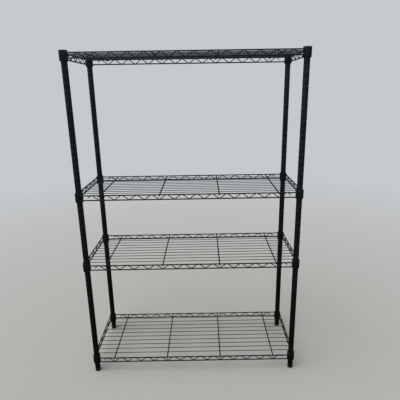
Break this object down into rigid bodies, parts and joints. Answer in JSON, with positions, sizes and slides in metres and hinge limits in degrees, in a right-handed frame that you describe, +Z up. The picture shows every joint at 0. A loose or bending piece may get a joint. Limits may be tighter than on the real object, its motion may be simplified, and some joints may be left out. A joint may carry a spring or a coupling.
{
  "type": "wire shelving unit",
  "caption": "Free-standing shelving unit of black coated wire: welded truss shelves with corner collars wedged on clips along grooved round posts with levelling feet.",
  "frame": {"origin": "on the floor, at the centre of the four feet", "axes": "+X to the right along the shelves, +Y to the back, +Z up along the posts"},
  "size_m": [0.9154, 0.3566, 1.376],
  "materials": {
    "post_coat": "satin black powder coat",
    "wire_coat": "satin black powder coat",
    "collar_coat": "satin black powder coat",
    "clip_plastic": "moulded black",
    "cap_plastic": "moulded black",
    "insert_plastic": "moulded black",
    "glide_plastic": "moulded black, scuffed",
    "screw_steel": "zinc plated"
  },
  "bodies": {
    "frame": {"post_front_left": "post_coat", "post_cap_front_left": "cap_plastic", "foot_insert_front_left": "insert_plastic", "post_front_right": "post_coat", "post_cap_front_right": "cap_plastic", "foot_insert_front_right": "insert_plastic", "post_back_left": "post_coat", "post_cap_back_left": "cap_plastic", "foot_insert_back_left": "insert_plastic", "post_back_right": "post_coat", "post_cap_back_right": "cap_plastic", "foot_insert_back_right": "insert_plastic", "shelf_1_left_clips": "clip_plastic", "shelf_1_right_clips": "clip_plastic", "shelf_2_left_clips": "clip_plastic", "shelf_2_right_clips": "clip_plastic", "shelf_3_left_clips": "clip_plastic", "shelf_3_right_clips": "clip_plastic", "shelf_4_left_clips": "clip_plastic", "shelf_4_right_clips": "clip_plastic"},
    "shelf_1": {"shelf_1_collars": "collar_coat", "shelf_1_front_truss": "wire_coat", "shelf_1_back_truss": "wire_coat", "shelf_1_left_truss": "wire_coat", "shelf_1_right_truss": "wire_coat", "shelf_1_deck_wires": "wire_coat", "shelf_1_cross_wires": "wire_coat"},
    "shelf_2": {"shelf_2_collars": "collar_coat", "shelf_2_front_truss": "wire_coat", "shelf_2_back_truss": "wire_coat", "shelf_2_left_truss": "wire_coat", "shelf_2_right_truss": "wire_coat", "shelf_2_deck_wires": "wire_coat", "shelf_2_cross_wires": "wire_coat"},
    "shelf_3": {"shelf_3_collars": "collar_coat", "shelf_3_front_truss": "wire_coat", "shelf_3_back_truss": "wire_coat", "shelf_3_left_truss": "wire_coat", "shelf_3_right_truss": "wire_coat", "shelf_3_deck_wires": "wire_coat", "shelf_3_cross_wires": "wire_coat"},
    "shelf_4": {"shelf_4_collars": "collar_coat", "shelf_4_front_truss": "wire_coat", "shelf_4_back_truss": "wire_coat", "shelf_4_left_truss": "wire_coat", "shelf_4_right_truss": "wire_coat", "shelf_4_deck_wires": "wire_coat", "shelf_4_cross_wires": "wire_coat"},
    "glide_front_left": {"foot_glide_front_left": "glide_plastic"},
    "screw_front_left": {"foot_screw_front_left": "screw_steel"},
    "glide_front_right": {"foot_glide_front_right": "glide_plastic"},
    "screw_front_right": {"foot_screw_front_right": "screw_steel"},
    "glide_back_left": {"foot_glide_back_left": "glide_plastic"},
    "screw_back_left": {"foot_screw_back_left": "screw_steel"},
    "glide_back_right": {"foot_glide_back_right": "glide_plastic"},
    "screw_back_right": {"foot_screw_back_right": "screw_steel"}
  },
  "joints": [
    {"name": "shelf_1_lift", "type": "slide", "parent": "frame", "child": "shelf_1", "axis": [0, 0, 1], "range_m": [0, 0.416]},
    {"name": "shelf_2_lift", "type": "slide", "parent": "frame", "child": "shelf_2", "axis": [0, 0, 1], "range_m": [0, 0.2635]},
    {"name": "shelf_3_lift", "type": "slide", "parent": "frame", "child": "shelf_3", "axis": [0, 0, 1], "range_m": [0, 0.492]},
    {"name": "shelf_4_lift", "type": "slide", "parent": "frame", "child": "shelf_4", "axis": [0, 0, 1], "range_m": [0, 0.1]},
    {"name": "glide_front_left_travel", "type": "slide", "parent": "frame", "child": "glide_front_left", "axis": [0, 0, -1], "range_m": [0, 0.012]},
    {"name": "screw_front_left_turn", "type": "hinge", "parent": "glide_front_left", "child": "screw_front_left", "pos_m": [-0.442, -0.1626, 0.0107], "axis": [0, 0, -1], "range_deg": [0, 2880]},
    {"name": "glide_front_right_travel", "type": "slide", "parent": "frame", "child": "glide_front_right", "axis": [0, 0, -1], "range_m": [0, 0.012]},
    {"name": "screw_front_right_turn", "type": "hinge", "parent": "glide_front_right", "child": "screw_front_right", "pos_m": [0.442, -0.1626, 0.0107], "axis": [0, 0, -1], "range_deg": [0, 2880]},
    {"name": "glide_back_left_travel", "type": "slide", "parent": "frame", "child": "glide_back_left", "axis": [0, 0, -1], "range_m": [0, 0.012]},
    {"name": "screw_back_left_turn", "type": "hinge", "parent": "glide_back_left", "child": "screw_back_left", "pos_m": [-0.442, 0.1626, 0.0107], "axis": [0, 0, -1], "range_deg": [0, 2880]},
    {"name": "glide_back_right_travel", "type": "slide", "parent": "frame", "child": "glide_back_right", "axis": [0, 0, -1], "range_m": [0, 0.012]},
    {"name": "screw_back_right_turn", "type": "hinge", "parent": "glide_back_right", "child": "screw_back_right", "pos_m": [0.442, 0.1626, 0.0107], "axis": [0, 0, -1], "range_deg": [0, 2880]}
  ],
  "couplings": [
    {"joint": "screw_front_left_turn", "follows": "glide_front_left_travel", "rad_per_m": 4188.8},
    {"joint": "screw_front_right_turn", "follows": "glide_front_right_travel", "rad_per_m": 4188.8},
    {"joint": "screw_back_left_turn", "follows": "glide_back_left_travel", "rad_per_m": 4188.8},
    {"joint": "screw_back_right_turn", "follows": "glide_back_right_travel", "rad_per_m": 4188.8}
  ]
}
